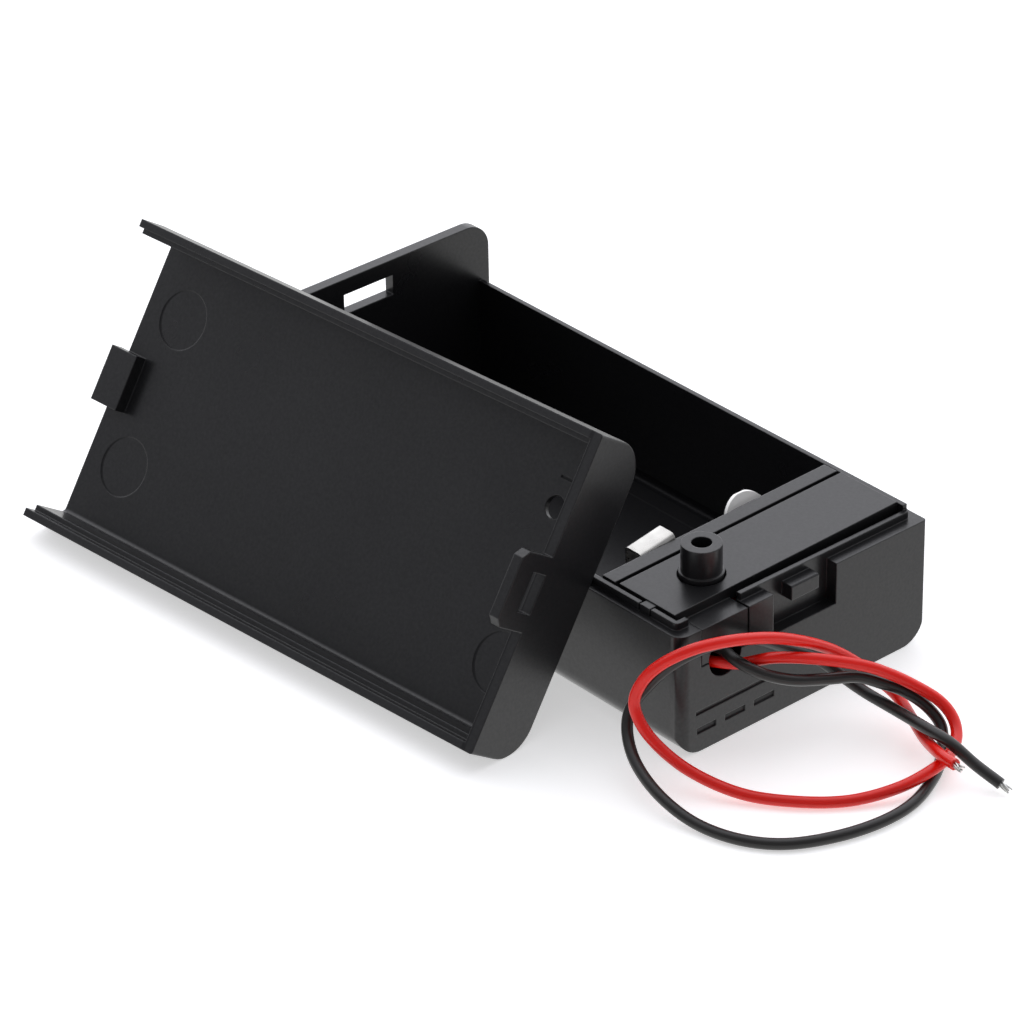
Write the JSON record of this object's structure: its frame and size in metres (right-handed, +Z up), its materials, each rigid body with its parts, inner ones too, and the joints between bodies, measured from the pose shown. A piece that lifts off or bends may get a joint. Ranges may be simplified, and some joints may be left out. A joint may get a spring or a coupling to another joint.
{
  "type": "battery holder",
  "caption": "Black moulded holder for a flat rectangular battery, with its lid leaning beside it, spring contacts, a slide switch in the floor and a red and a black lead.",
  "frame": {"origin": "centre of the base's underside", "axes": "+X along the base to the end with the switch and leads, +Y across it away from the leaning lid, +Z up"},
  "size_m": [0.107, 0.0557, 0.0306],
  "materials": {
    "case_black": "satin moulded, fine texture",
    "contact_nickel": "bright nickel-plated spring strip",
    "switch_steel": "plated sheet",
    "board_brown": "pressed insulating board",
    "tinned_metal": "dull tinned",
    "slider_black": "moulded",
    "wiper_brass": "bright strip",
    "insulation_red": "smooth soft insulation",
    "insulation_black": "smooth soft insulation"
  },
  "bodies": {
    "holder": {"base_tray": "case_black", "compartment_cover": "case_black", "lid": "case_black", "negative_contact": "contact_nickel", "positive_contact": "contact_nickel", "switch_frame": "switch_steel", "switch_board": "board_brown", "switch_terminal_supply": "tinned_metal", "switch_terminal_common": "tinned_metal", "switch_terminal_spare": "tinned_metal", "solder_supply": "tinned_metal", "solder_common": "tinned_metal", "solder_negative": "tinned_metal", "red_lead": "insulation_red", "black_lead": "insulation_black", "red_lead_strands": "tinned_metal", "black_lead_strands": "tinned_metal"},
    "slider": {"switch_slider": "slider_black", "switch_wiper": "wiper_brass"}
  },
  "joints": [
    {"name": "switch_slide", "type": "slide", "parent": "holder", "child": "slider", "axis": [0, 1, 0], "range_m": [0, 0.003]}
  ]
}
